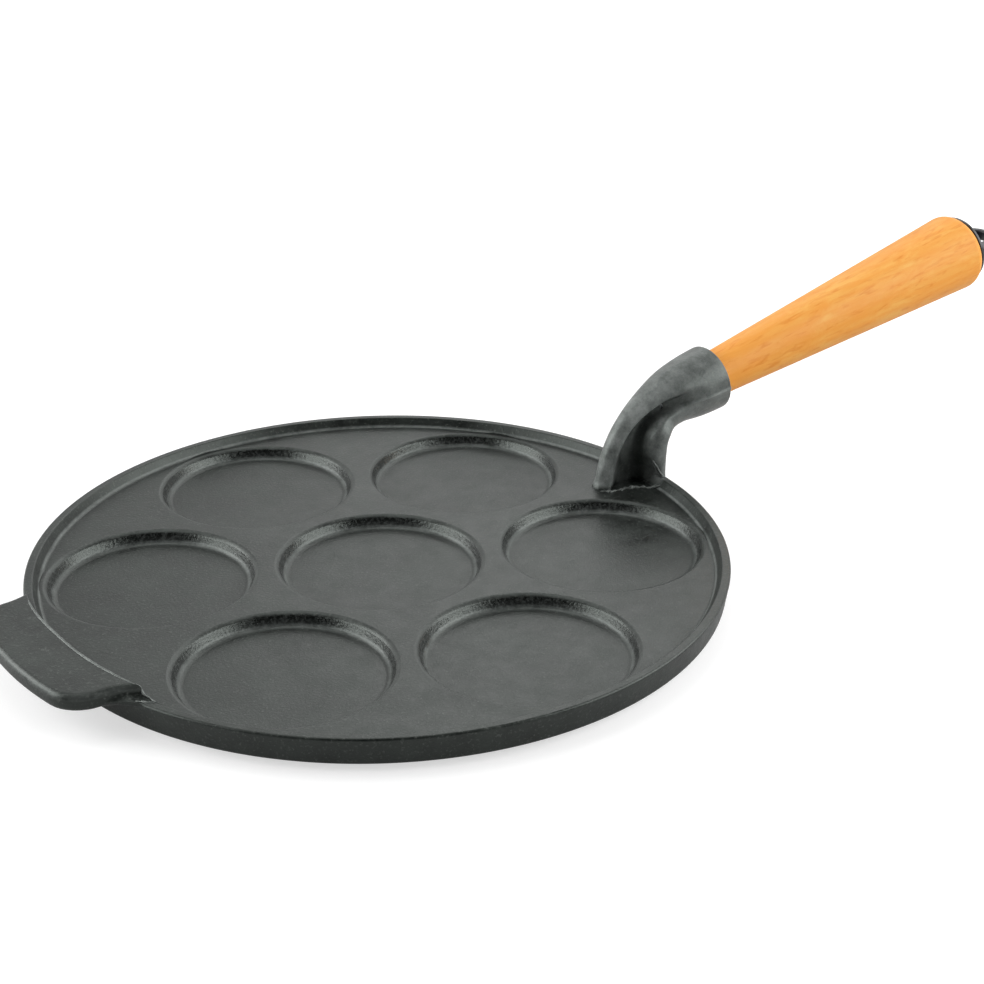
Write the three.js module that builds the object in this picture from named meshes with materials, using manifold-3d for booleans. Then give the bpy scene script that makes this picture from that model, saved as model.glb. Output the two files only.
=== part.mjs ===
// A cast iron pan for small pancakes: a round plate with seven shallow wells, a thumb tab at the
// front, and a gooseneck at the back that ends in a socket for a turned wooden grip. A threaded rod
// runs from the socket through the grip to an eye nut, which clamps the grip and hangs the pan up.
// Lengths are in millimetres. The origin is the middle of the flat underside, +Z is up and the
// handle points along +X.
import * as THREE from "three";
import { mergeVertices } from "three/addons/utils/BufferGeometryUtils.js";
import Module from "manifold-3d";

const wasm = await Module();
wasm.setup();

// Plate
const rimRadius = 115;
const rimHeight = 11.5;
const rimTopWidth = 3;
const rimInnerRun = 2; // how far the inside of the rim slopes in on its way down
const deckHeight = 8.2;
const wallFootRadius = 113.6;
const wallFootHeight = 2.5;
const baseRadius = 106;

// Wells
const wellRingRadius = 74.6; // from the plate's middle to the middle of an outer well
const wellEdgeRadius = 33.9;
const wellFloorRadius = 31.3;
const wellDepth = 4.15;
const wellEdgeChamfer = 0.7;
const wellsAround = 6;
const wellPatternTurn = THREE.MathUtils.degToRad(2.2);

// Thumb tab
const tabReach = 130.7; // from the plate's middle to the tab's outer edge
const tabHalfWidth = 32.4;
const tabCornerRadius = 12;
const tabTopHeight = 15.5;
const tabEdgeThickness = 5.5;
const tabRootHeight = 5; // underside of the tab where it meets the wall
const tabRootHalfWidth = 20; // past this the underside climbs towards the rim
const tabRootReach = 102; // the tab is rooted in the plate this far from its middle
const tabFlare = 7.5; // how far each side sweeps out into the rim
const tabEdgeChamfer = 1;

// Neck and socket
const neckFootInnerX = 92.3;
const neckFootOuterX = 116.8;
const neckFootHeight = 4; // the neck is rooted this high inside the plate
const neckInnerPull = 11.7; // the four pulls bend the two edges of the neck
const neckInnerSocketPull = 52;
const neckOuterPull = 27;
const neckOuterSocketPull = 28.6;
const neckFootLean = THREE.MathUtils.degToRad(4);
const neckRibHalfWidth = 5.5;
const neckFlangeHalfWidth = 12;
const neckRecessShare = 0.55; // how much of the half-width the side recess takes away
const neckRecessPlaceShare = -0.1; // 1 is the face of the rib and -1 the face of the flange
const neckRecessSpanShare = 0.4;
const neckInnerPaceShare = 0.6;
const neckFlangePower = 5; // how square the flange's corners are at the foot, where 2 is round
const neckRoundStartShare = 0.4;
const neckRoundEndShare = 0.8;
const mouthReach = 144.9; // middle of the socket's mouth
const mouthHeight = 38.2;
const mouthRadius = 12;
const handleRise = THREE.MathUtils.degToRad(9.65);

// Grip, rod and eye nut, measured along the handle from the socket's mouth
const gripStartRadius = 8.2;
const gripEndRadius = 15.2;
const gripLength = 133;
const gripEndRound = 2.6;
const spigotLength = 12.5;
const rodRadius = 4;
const rodThreadDepth = 14; // length of rod screwed into the neck
const rodTipChamfer = 0.8;
const eyeFlangeRadius = 13.2;
const eyeFlangeThickness = 1.8;
const eyeCollarRadius = 6.5;
const eyeCollarLength = 8.7;
const eyeThreadDepth = 7.7;
const eyeLoopRadius = 12.2;
const eyeLoopThickness = 4.4;
const eyeLoopOffset = 4.2; // middle of the loop's outside, beyond the flange
const eyeHoleRadius = 6;
const eyeHoleOffset = 7.2; // middle of the hole, beyond the flange
const eyeEdgeRound = 1.1;

// Clearances
const seatGap = 0.3; // between pieces that rest on each other
const spigotClearance = 0.4; // around the grip in its socket
const threadClearance = 0.32; // around the rod in both of its tapped holes
const boreClearance = 0.6; // around the rod in the grip
const collarClearance = 0.4; // around the eye nut's collar in the grip
const overrun = 6; // how far a cutter runs past what it cuts

// Facets
const plateSides = 96;
const wellSides = 48;
const turnedSides = 32;
const loopSides = 24;
const neckStations = 20;
const neckSides = 28;
const tabArcSteps = 5;
const gripRoundSteps = 4;

const castIron = new THREE.MeshStandardMaterial({ color: 0x4d5250, roughness: 0.62, metalness: 0.35 });
const beech = new THREE.MeshStandardMaterial({ color: 0xe9a55c, roughness: 0.55, metalness: 0 });
const zincSteel = new THREE.MeshStandardMaterial({ color: 0xa9adb0, roughness: 0.38, metalness: 1 });
const blackEnamel = new THREE.MeshStandardMaterial({ color: 0x17181c, roughness: 0.28, metalness: 0.2 });

const handleDirection = new THREE.Vector3(Math.cos(handleRise), 0, Math.sin(handleRise));
const handleUp = new THREE.Vector3(-Math.sin(handleRise), 0, Math.cos(handleRise));
const mouthCentre = new THREE.Vector3(mouthReach, 0, mouthHeight);
const recessDepth = spigotLength + seatGap;

// Local Y of this frame runs out along the handle and local Z is the handle's upper side.
function handleFrame() {
  const across = new THREE.Vector3().crossVectors(handleDirection, handleUp);
  return new THREE.Matrix4().makeBasis(across, handleDirection, handleUp).setPosition(mouthCentre);
}

// A closed geometry as a solid that can be joined and cut.
function solidOf(geometry, matrix = new THREE.Matrix4()) {
  const bare = geometry.clone().applyMatrix4(matrix);
  bare.deleteAttribute("normal");
  bare.deleteAttribute("uv");
  const merged = mergeVertices(bare);
  return new wasm.Manifold(
    new wasm.Mesh({
      numProp: 3,
      vertProperties: merged.attributes.position.array,
      triVerts: new Uint32Array(merged.index.array),
    }),
  );
}

function geometryOf(solid) {
  const { numProp, vertProperties, triVerts } = solid.getMesh();
  const positions = new Float32Array((vertProperties.length / numProp) * 3);
  for (let i = 0; i < positions.length / 3; i++) {
    positions.set(vertProperties.subarray(i * numProp, i * numProp + 3), 3 * i);
  }
  const geometry = new THREE.BufferGeometry();
  geometry.setAttribute("position", new THREE.BufferAttribute(positions, 3));
  geometry.setIndex(new THREE.BufferAttribute(triVerts, 1));
  geometry.computeVertexNormals();
  return geometry;
}

function piece(name, geometry, material) {
  const mesh = new THREE.Mesh(geometry, material);
  mesh.name = name;
  return mesh;
}

// Turns a profile of [radius, height] points about the Y axis. Points run up the outside.
function turned(profile, sides) {
  return new THREE.LatheGeometry(profile.map(([r, y]) => new THREE.Vector2(r, y)), sides);
}

const zUp = new THREE.Matrix4().makeRotationX(Math.PI / 2);

// Skins a row of rings, each with as many points, and closes both ends with a fan.
function skinned(rings) {
  const count = rings[0].length;
  const middles = [rings[0], rings[rings.length - 1]].map((ring) =>
    ring.reduce((sum, p) => sum.add(p), new THREE.Vector3()).divideScalar(count),
  );
  const points = [...rings.flat(), ...middles];
  const [startMiddle, endMiddle] = [points.length - 2, points.length - 1];
  const lastRing = (rings.length - 1) * count;
  const triangles = [];
  for (let j = 0; j < count; j++) {
    const next = (j + 1) % count;
    for (let i = 0; i < lastRing; i += count) {
      triangles.push(i + j, i + next, i + count + next);
      triangles.push(i + j, i + count + next, i + count + j);
    }
    triangles.push(startMiddle, next, j);
    triangles.push(endMiddle, lastRing + j, lastRing + next);
  }
  const geometry = new THREE.BufferGeometry().setFromPoints(points);
  geometry.setIndex(triangles);
  return geometry;
}

function smoothShare(value, from, to) {
  return THREE.MathUtils.smoothstep(value, from, to);
}

// The disc from its flat base out to the wall, before the tray inside the rim is cut.
function plateBlank() {
  const profile = [
    [0, 0],
    [baseRadius, 0],
    [wallFootRadius, wallFootHeight],
    [rimRadius, rimHeight],
    [0, rimHeight],
  ];
  return solidOf(turned(profile, plateSides), zUp);
}

// The space inside the rim, above the deck.
function trayCutter() {
  const topRadius = rimRadius - rimTopWidth;
  const profile = [
    [0, deckHeight],
    [topRadius - rimInnerRun, deckHeight],
    [topRadius, rimHeight],
    [topRadius, tabTopHeight + overrun],
    [0, tabTopHeight + overrun],
  ];
  return solidOf(turned(profile, plateSides), zUp);
}

function wellCutter(x, y) {
  const profile = [
    [0, deckHeight - wellDepth],
    [wellFloorRadius, deckHeight - wellDepth],
    [wellEdgeRadius, deckHeight - wellEdgeChamfer],
    [wellEdgeRadius + wellEdgeChamfer, deckHeight],
    [wellEdgeRadius + wellEdgeChamfer, deckHeight + overrun],
    [0, deckHeight + overrun],
  ];
  const place = new THREE.Matrix4().makeTranslation(x, y, 0);
  return solidOf(turned(profile, wellSides), place.multiply(zUp));
}

// Half of the tab's outline, from the middle of its outer edge to where its flared side meets the
// rim. Each point also says how much of the tab's height is left there.
function tabOutline() {
  const cornerY = tabHalfWidth - tabCornerRadius;
  const cornerX = -Math.sqrt((tabReach - tabCornerRadius) ** 2 - cornerY ** 2);
  const cornerAngle = Math.atan2(cornerY, -cornerX);
  const rootY = tabHalfWidth + tabFlare;
  const rootX = -Math.sqrt((rimRadius - rimTopWidth) ** 2 - rootY ** 2);
  const outline = [];
  for (let i = 0; i < tabArcSteps; i++) {
    const angle = (cornerAngle * i) / tabArcSteps;
    outline.push({ x: -tabReach * Math.cos(angle), y: tabReach * Math.sin(angle), heightShare: 1 });
  }
  for (let i = 0; i <= tabArcSteps; i++) {
    const angle = cornerAngle + ((Math.PI / 2 - cornerAngle) * i) / tabArcSteps;
    outline.push({
      x: cornerX - tabCornerRadius * Math.cos(angle),
      y: cornerY + tabCornerRadius * Math.sin(angle),
      heightShare: 1,
    });
  }
  for (let i = 1; i <= tabArcSteps; i++) {
    const angle = (Math.PI / 2) * (i / tabArcSteps);
    outline.push({
      x: cornerX + (rootX - cornerX) * Math.sin(angle),
      y: rootY - tabFlare * Math.cos(angle),
      heightShare: 1 - Math.sin(angle),
    });
  }
  return outline;
}

// The tab, skinned over sections that stand across the pan from one side to the other.
function tabSolid() {
  const half = tabOutline();
  const mirrored = half.slice(1).reverse().map((p) => ({ ...p, y: -p.y }));
  const rings = [...mirrored, ...half].map(({ x, y, heightShare }) => {
    const top = rimHeight + (tabTopHeight - rimHeight) * heightShare;
    const climb = smoothShare(Math.abs(y), tabRootHalfWidth, tabHalfWidth + tabFlare);
    const under = top - tabEdgeThickness;
    const root = Math.min(under, tabRootHeight + (rimHeight - tabRootHeight) * climb);
    return [
      [x + tabEdgeChamfer, top],
      [-tabRootReach, top],
      [-tabRootReach, root],
      [Math.max(-rimRadius, x + tabEdgeChamfer), root],
      [x + tabEdgeChamfer, under],
      [x, under + tabEdgeChamfer],
      [x, top - tabEdgeChamfer],
    ].map(([px, pz]) => new THREE.Vector3(px, y, pz));
  });
  return solidOf(skinned(rings));
}

// The neck is skinned between two curved edges in the handle's plane: its rib, which faces the
// plate, and its flange, which faces out. Its sides are hollowed near the foot and it ends round.
function neckEdge(footX, footPull, socketPull, side) {
  const foot = new THREE.Vector3(footX, 0, neckFootHeight);
  const end = mouthCentre.clone().addScaledVector(handleUp, side * mouthRadius);
  const lean = new THREE.Vector3(Math.sin(neckFootLean), 0, Math.cos(neckFootLean));
  return new THREE.CubicBezierCurve3(
    foot,
    foot.clone().addScaledVector(lean, footPull),
    end.clone().addScaledVector(handleDirection, -socketPull),
    end,
  );
}

function neckSolid() {
  const rib = neckEdge(neckFootInnerX, neckInnerPull, neckInnerSocketPull, 1);
  const flange = neckEdge(neckFootOuterX, neckOuterPull, neckOuterSocketPull, -1);
  const rings = [];
  for (let i = 0; i <= neckStations; i++) {
    const along = i / neckStations;
    const ribPoint = rib.getPoint(along ** neckInnerPaceShare);
    const flangePoint = flange.getPoint(along);
    const middle = ribPoint.clone().add(flangePoint).divideScalar(2);
    const halfDepth = ribPoint.clone().sub(middle);
    const round = smoothShare(along, neckRoundStartShare, neckRoundEndShare);
    const flangePower = THREE.MathUtils.lerp(neckFlangePower, 2, round);
    const ring = [];
    for (let j = 0; j < neckSides; j++) {
      const angle = (2 * Math.PI * j) / neckSides;
      const depthShare = Math.cos(angle);
      const power = depthShare < 0 ? flangePower : 2;
      const oval = (1 - Math.abs(depthShare) ** power) ** (1 / power);
      const ribShare = smoothShare(depthShare, -1, 1);
      const footWidth = THREE.MathUtils.lerp(neckFlangeHalfWidth, neckRibHalfWidth, ribShare);
      const width = THREE.MathUtils.lerp(footWidth, halfDepth.length(), round);
      const dip = Math.exp(-(((depthShare - neckRecessPlaceShare) / neckRecessSpanShare) ** 2));
      const recess = neckRecessShare * (1 - round) * dip;
      const point = middle.clone().addScaledVector(halfDepth, depthShare);
      point.y = -Math.sign(Math.sin(angle)) * width * oval * (1 - recess);
      ring.push(point);
    }
    rings.push(ring);
  }
  return solidOf(skinned(rings));
}

// The recess that takes the end of the grip, and the tapped hole behind it.
function socketCutter() {
  const recessRadius = gripStartRadius + spigotClearance;
  const holeRadius = rodRadius + threadClearance;
  const profile = [
    [0, -recessDepth - rodThreadDepth - seatGap],
    [holeRadius, -recessDepth - rodThreadDepth - seatGap],
    [holeRadius, -recessDepth],
    [recessRadius, -recessDepth],
    [recessRadius, overrun],
    [0, overrun],
  ];
  return solidOf(turned(profile, turnedSides), handleFrame());
}

function panCasting() {
  let cutters = trayCutter().add(wellCutter(0, 0));
  for (let i = 0; i < wellsAround; i++) {
    const angle = wellPatternTurn + (2 * Math.PI * (i + 1 / 2)) / wellsAround;
    cutters = cutters.add(wellCutter(wellRingRadius * Math.cos(angle), wellRingRadius * Math.sin(angle)));
  }
  const plate = plateBlank().add(tabSolid()).subtract(cutters);
  return piece("pan_casting", geometryOf(plate.add(neckSolid()).subtract(socketCutter())), castIron);
}

// The beech grip: a spigot, a long taper, a rounded end, and a bore with a counterbore.
function handleGrip() {
  const bore = rodRadius + boreClearance;
  const counterbore = eyeCollarRadius + collarClearance;
  const counterboreFloor = gripLength - eyeCollarLength;
  const profile = [
    [bore, -spigotLength],
    [gripStartRadius, -spigotLength],
    [gripStartRadius, 0],
  ];
  for (let i = 0; i <= gripRoundSteps; i++) {
    const angle = (Math.PI / 2) * (i / gripRoundSteps);
    profile.push([
      gripEndRadius - gripEndRound * (1 - Math.cos(angle)),
      gripLength - gripEndRound * (1 - Math.sin(angle)),
    ]);
  }
  profile.push([counterbore, gripLength]);
  profile.push([counterbore, counterboreFloor]);
  profile.push([bore, counterboreFloor]);
  profile.push([bore, -spigotLength]);
  return piece("handle_grip", turned(profile, turnedSides), beech);
}

// Where the rod's outer end stops, one seat gap short of the floor of the eye nut's hole.
function rodEnd() {
  return gripLength - eyeCollarLength + eyeThreadDepth;
}

function tieRod() {
  const start = -recessDepth - rodThreadDepth;
  const profile = [
    [0, start],
    [rodRadius - rodTipChamfer, start],
    [rodRadius, start + rodTipChamfer],
    [rodRadius, rodEnd() - rodTipChamfer],
    [rodRadius - rodTipChamfer, rodEnd()],
    [0, rodEnd()],
  ];
  return piece("tie_rod", turned(profile, turnedSides), zincSteel);
}

// The eye nut: a tapped collar inside the grip, a flange on its end and a flat loop.
function eyeNut() {
  const face = gripLength + seatGap;
  const collarEnd = face - eyeCollarLength;
  const hole = rodRadius + threadClearance;
  const body = [
    [0, collarEnd + eyeThreadDepth],
    [hole, collarEnd + eyeThreadDepth],
    [hole, collarEnd],
    [eyeCollarRadius, collarEnd],
    [eyeCollarRadius, face],
    [eyeFlangeRadius, face],
    [eyeFlangeRadius, face + eyeFlangeThickness],
    [0, face + eyeFlangeThickness],
  ];
  const outer = face + eyeFlangeThickness;
  const radius = eyeLoopRadius - eyeEdgeRound;
  const startAngle = -Math.asin((eyeLoopOffset + eyeFlangeThickness / 2) / radius);
  const outline = new THREE.Shape();
  outline.absarc(0, outer + eyeLoopOffset, radius, startAngle, Math.PI - startAngle, false);
  outline.closePath();
  const eye = new THREE.Path();
  eye.absarc(0, outer + eyeHoleOffset, eyeHoleRadius + eyeEdgeRound, 0, 2 * Math.PI, true);
  outline.holes.push(eye);
  const flat = new THREE.ExtrudeGeometry(outline, {
    depth: eyeLoopThickness - 2 * eyeEdgeRound,
    bevelEnabled: true,
    bevelThickness: eyeEdgeRound,
    bevelSize: eyeEdgeRound,
    bevelSegments: 2,
    curveSegments: loopSides,
  });
  flat.translate(0, 0, eyeEdgeRound - eyeLoopThickness / 2);
  return piece("hanging_eye_nut", geometryOf(solidOf(turned(body, turnedSides)).add(solidOf(flat))), blackEnamel);
}

const pan = new THREE.Group();
pan.add(panCasting());

const handle = new THREE.Group();
handle.applyMatrix4(handleFrame());
handle.add(handleGrip(), tieRod(), eyeNut());
pan.add(handle);

export default pan;
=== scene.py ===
import math

import bpy
import numpy as np
from mathutils import Matrix, Vector


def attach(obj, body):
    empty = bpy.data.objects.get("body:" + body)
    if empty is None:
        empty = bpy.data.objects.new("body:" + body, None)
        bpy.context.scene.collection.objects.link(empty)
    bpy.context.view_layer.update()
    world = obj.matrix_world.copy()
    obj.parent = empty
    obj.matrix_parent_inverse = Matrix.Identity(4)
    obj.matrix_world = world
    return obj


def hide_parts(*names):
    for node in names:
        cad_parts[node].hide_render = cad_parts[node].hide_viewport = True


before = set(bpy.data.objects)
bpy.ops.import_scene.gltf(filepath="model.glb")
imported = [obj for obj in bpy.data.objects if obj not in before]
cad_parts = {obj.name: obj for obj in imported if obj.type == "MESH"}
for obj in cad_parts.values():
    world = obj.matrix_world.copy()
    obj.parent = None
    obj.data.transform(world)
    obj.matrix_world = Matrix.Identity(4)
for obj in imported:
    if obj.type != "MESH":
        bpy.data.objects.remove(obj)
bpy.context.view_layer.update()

# Dressing for a cast iron pan with seven wells, a thumb tab and a wooden grip. The sizes below are
# in millimetres in the part's own frame, and meshes are made in metres.
mm = 0.001


# Turns rings of points, an array of ring by point by xyz, into one closed mesh. Neighbouring rings
# are joined by quads. The ends are closed by a fan to the ring's middle, unless the rings loop. The
# sum of a . (b x c) over all triangles is below zero when the faces point in, and then they are flipped.
def closedMesh(name, rings, looped=False):
    count, around = rings.shape[:2]
    points = rings.reshape(-1, 3)
    rows = np.arange(count if looped else count - 1)
    row, col = np.meshgrid(rows, np.arange(around), indexing="ij")
    ringStart, nextStart = row * around, (row + 1) % count * around
    nextCol = (col + 1) % around
    quads = np.stack([ringStart + col, ringStart + nextCol, nextStart + nextCol, nextStart + col], -1)
    quads = quads.reshape(-1, 4)
    triangles = [quads[:, (0, 1, 2)], quads[:, (0, 2, 3)]]
    faces = quads.tolist()
    if not looped:
        firstPole, here = len(points), np.arange(around)
        after, last = (here + 1) % around, (count - 1) * around
        points = np.vstack([points, rings[[0, -1]].mean(axis=1)])
        startFan = np.stack([np.full(around, firstPole), after, here], -1)
        endFan = np.stack([np.full(around, firstPole + 1), last + here, last + after], -1)
        triangles += [startFan, endFan]
        faces += startFan.tolist() + endFan.tolist()
    a, b, c = np.moveaxis(points[np.vstack(triangles)], 1, 0)
    mesh = bpy.data.meshes.new(name)
    mesh.from_pydata((points * mm).tolist(), [], faces)
    if np.einsum("ij,ij->i", a, np.cross(b, c)).sum() < 0:
        mesh.flip_normals()
    made = bpy.data.objects.new(name, mesh)
    bpy.context.scene.collection.objects.link(made)
    return made


# Swaps each corner of a profile for an arc that touches both its edges. The arc starts at
# radius / tan(half the corner's angle) from the corner. A corner with radius 0 stays as it is.
def roundedProfile(corners, steps=6):
    spots = np.array([c[:2] for c in corners], float)
    radii = [c[2] if len(c) > 2 else 0 for c in corners]
    path = []
    for i, radius in enumerate(radii):
        if not radius:
            path.append(spots[i][None])
            continue
        back, ahead = spots[i - 1] - spots[i], spots[i + 1] - spots[i]
        back, ahead = back / np.linalg.norm(back), ahead / np.linalg.norm(ahead)
        half = math.acos(np.clip(back @ ahead, -1, 1)) / 2
        middle = spots[i] + (back + ahead) / np.linalg.norm(back + ahead) * radius / math.sin(half)
        start = (spots[i] + back * radius / math.tan(half) - middle) / radius
        end = (spots[i] + ahead * radius / math.tan(half) - middle) / radius
        sweep = math.pi - 2 * half
        share = np.linspace(0, 1, steps + 1)[:, None]
        turned = np.sin((1 - share) * sweep) * start + np.sin(share * sweep) * end
        path.append(middle + radius * turned / math.sin(sweep))
    return np.vstack(path)


# Unit circles across an axis: cos(a) side + sin(a) other at each angle a.
def circleAcross(axis, angle):
    other = np.array([0.0, 1.0, 0.0])
    side = np.cross(other, axis)
    return np.cos(angle)[..., None] * side + np.sin(angle)[..., None] * other


# A turned shape: a profile r(s), h(s) is carried round an axis, so each point is
# centre + r (cos(a) side + sin(a) other) + h axis.
def turnedRings(profile, sides, centre=(0, 0, 0), axis=(0, 0, 1)):
    axis = np.array(axis, float)
    ring = circleAcross(axis, np.linspace(0, 2 * math.pi, sides, endpoint=False))
    return np.array(centre, float) + profile[:, 0, None, None] * ring + profile[:, 1, None, None] * axis


# Joins a solid with others or cuts it by them, in turn, and keeps only the result's mesh.
def combined(name, body, steps):
    for operation, tool in steps:
        modifier = body.modifiers.new(operation.lower(), "BOOLEAN")
        modifier.operation, modifier.solver, modifier.object = operation, "MANIFOLD", tool
    graph = bpy.context.evaluated_depsgraph_get()
    mesh = bpy.data.meshes.new_from_object(body.evaluated_get(graph))
    mesh.name = name
    mesh.materials.clear()
    made = bpy.data.objects.new(name, mesh)
    bpy.context.scene.collection.objects.link(made)
    for tool in {tool for _, tool in steps} | {body}:
        bpy.data.objects.remove(tool)
    return made


# Smooth shading that stays sharp where faces meet at more than an angle, weighted by face size.
def smoothed(piece, sharpAngle=40):
    piece.data.polygons.foreach_set("use_smooth", np.ones(len(piece.data.polygons), bool))
    piece.data.set_sharp_from_angle(angle=math.radians(sharpAngle))
    weighted = piece.modifiers.new("weightedNormals", "WEIGHTED_NORMAL")
    weighted.keep_sharp = True
    return piece


# A cubic curve: (1-s)^3 start + 3 (1-s)^2 s startPull + 3 (1-s) s^2 endPull + s^3 end.
def bezier(start, startPull, endPull, end, share):
    share = share[:, None]
    rest = 1 - share
    return rest**3 * start + 3 * rest**2 * share * startPull + 3 * rest * share**2 * endPull + share**3 * end


# A smooth step from 0 at low to 1 at high: s s (3 - 2 s), with s the share of the way.
def eased(value, low, high):
    share = np.clip((value - low) / (high - low), 0, 1)
    return share * share * (3 - 2 * share)


# A smooth step up from rise to full, times a smooth step down from fall to end.
def band(value, rise, full, fall, end):
    return eased(value, rise, full) * (1 - eased(value, fall, end))


# The camera, at the photograph's viewing angle.
viewpoint = {
    "target": (68.02, 29.27, 2.5),
    "turn": -36.816,  # degrees round the pan, 0 looks along +Y
    "height": 25.210,  # degrees above the table
    "roll": -0.100,
    "distance": 694.81,
    "lens": 70.304,
    "sensor": 36,
    "clip": (0.01, 20),  # metres
}
viewTurn = math.radians(viewpoint["turn"])
cameraRight = Vector((math.cos(viewTurn), math.sin(viewTurn), 0))
cameraAhead = Vector((-math.sin(viewTurn), math.cos(viewTurn), 0))


# The camera stands at target + distance (cos(height) backwards + sin(height) up), rolled about its view.
def placeCamera():
    height, roll = math.radians(viewpoint["height"]), math.radians(viewpoint["roll"])
    back = Vector((0, 0, math.sin(height))) - cameraAhead * math.cos(height)
    up = back.cross(cameraRight)
    right = math.cos(roll) * cameraRight + math.sin(roll) * up
    up = math.cos(roll) * up - math.sin(roll) * cameraRight
    data = bpy.data.cameras.new("viewCamera")
    data.sensor_width, data.lens = viewpoint["sensor"], viewpoint["lens"]
    data.clip_start, data.clip_end = viewpoint["clip"]
    camera = bpy.data.objects.new("viewCamera", data)
    camera.matrix_world = Matrix((right, up, back)).transposed().to_4x4()
    camera.location = (Vector(viewpoint["target"]) + back * viewpoint["distance"]) * mm
    bpy.context.scene.collection.objects.link(camera)
    bpy.context.scene.camera = camera


placeCamera()
print("camera placed")


# Small tools for materials.
def newMaterial(name):
    material = bpy.data.materials.new(name)
    material.use_nodes = True
    tree = material.node_tree
    return material, tree, tree.nodes["Principled BSDF"]


# One node with its inputs set or linked: a value that is a socket is linked, any other is set.
def addNode(tree, kind, inputs=None, **settings):
    made = tree.nodes.new(kind)
    for key, value in settings.items():
        setattr(made, key, value)
    for key, value in (inputs or {}).items():
        if isinstance(value, bpy.types.NodeSocket):
            tree.links.new(value, made.inputs[key])
        else:
            made.inputs[key].default_value = value
    return made


def objectPlace(tree, turn=(0, 0, 0), shift=(0, 0, 0)):
    coords = addNode(tree, "ShaderNodeTexCoord")
    inputs = {"Vector": coords.outputs["Object"], "Rotation": turn, "Location": shift}
    return addNode(tree, "ShaderNodeMapping", inputs).outputs["Vector"]


def ownValue(tree, name):
    return addNode(tree, "ShaderNodeAttribute", attribute_name=name).outputs["Fac"]


def noiseOf(tree, place, scale, detail, rough, bend=0.0):
    inputs = {"Vector": place, "Scale": scale, "Detail": detail, "Roughness": rough, "Distortion": bend}
    return addNode(tree, "ShaderNodeTexNoise", inputs).outputs["Fac"]


# Maps low to outLow and high to outHigh, and holds what lies beyond them.
def between(tree, value, low, high, outLow=0.0, outHigh=1.0):
    inputs = {"Value": value, "From Min": low, "From Max": high, "To Min": outLow, "To Max": outHigh}
    return addNode(tree, "ShaderNodeMapRange", inputs).outputs["Result"]


def calc(tree, operation, first, second=0):
    return addNode(tree, "ShaderNodeMath", {0: first, 1: second}, operation=operation).outputs[0]


def times(tree, first, second):
    return calc(tree, "MULTIPLY", first, second)


def plus(tree, first, second):
    return calc(tree, "ADD", first, second)


def blendColour(tree, share, first, second):
    made = addNode(tree, "ShaderNodeMix", data_type="RGBA")
    for index, value in ((0, share), (6, first), (7, second)):  # the factor and the two colours
        if isinstance(value, bpy.types.NodeSocket):
            tree.links.new(value, made.inputs[index])
        else:
            made.inputs[index].default_value = (*value, 1)
    return made.outputs[2]


def bumpOf(tree, height, distance, normal=None):
    inputs = {"Height": height, "Distance": distance}
    if normal is not None:
        inputs["Normal"] = normal
    return addNode(tree, "ShaderNodeBump", inputs).outputs["Normal"]


# A noise is its scale per metre, its detail and its roughness. A height is in metres. A range is what
# a noise is spread over.
ironLook = {
    "dark": (0.003, 0.0036, 0.0032),
    "light": (0.016, 0.019, 0.017),
    "speck": (0.10, 0.108, 0.10),
    "skinAndLightDark": (0.070, 0.078, 0.074),  # a paler grey, laid on as painted light and painted highlight, and in the walls' patches
    "skinAndLightPale": (0.225, 0.240, 0.232),
    "grain": (1000, 3, 0.6),
    "mottle": (150, 4, 0.6),
    "swell": (60, 2, 0.5),
    "wallGrain": (980, 4, 0.7),  # the sand marks on steep walls
    "skinAndLightNoise": (150, 5, 0.75),
    "grainHeight": 0.00009,
    "mottleHeight": 0.00007,
    "swellHeight": 0.00010,
    "wallGrainHeight": 0.00012,
    "mottleShare": 0.6,  # of the clouds, and the rest is swell
    "cloudRange": (0.38, 0.62),
    "speckRange": (0.56, 0.72),
    "speckShare": 0.5,
    "patchRange": (0.46, 0.60),
    "wallSkin": 0.20,  # how much skin shows in patches on the steep walls
    "skinAndLightRange": (0.34, 0.66),
    "grainShare": 0.5,  # of the uneven roughness, and the rest is mottle
    "unevenRange": (0.35, 0.65),
    "roughness": (0.30, 0.50),
    "wallRoughness": 0.20,
    "specular": 0.46,
    "tint": (0.91, 1.0, 0.94),
}
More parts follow.
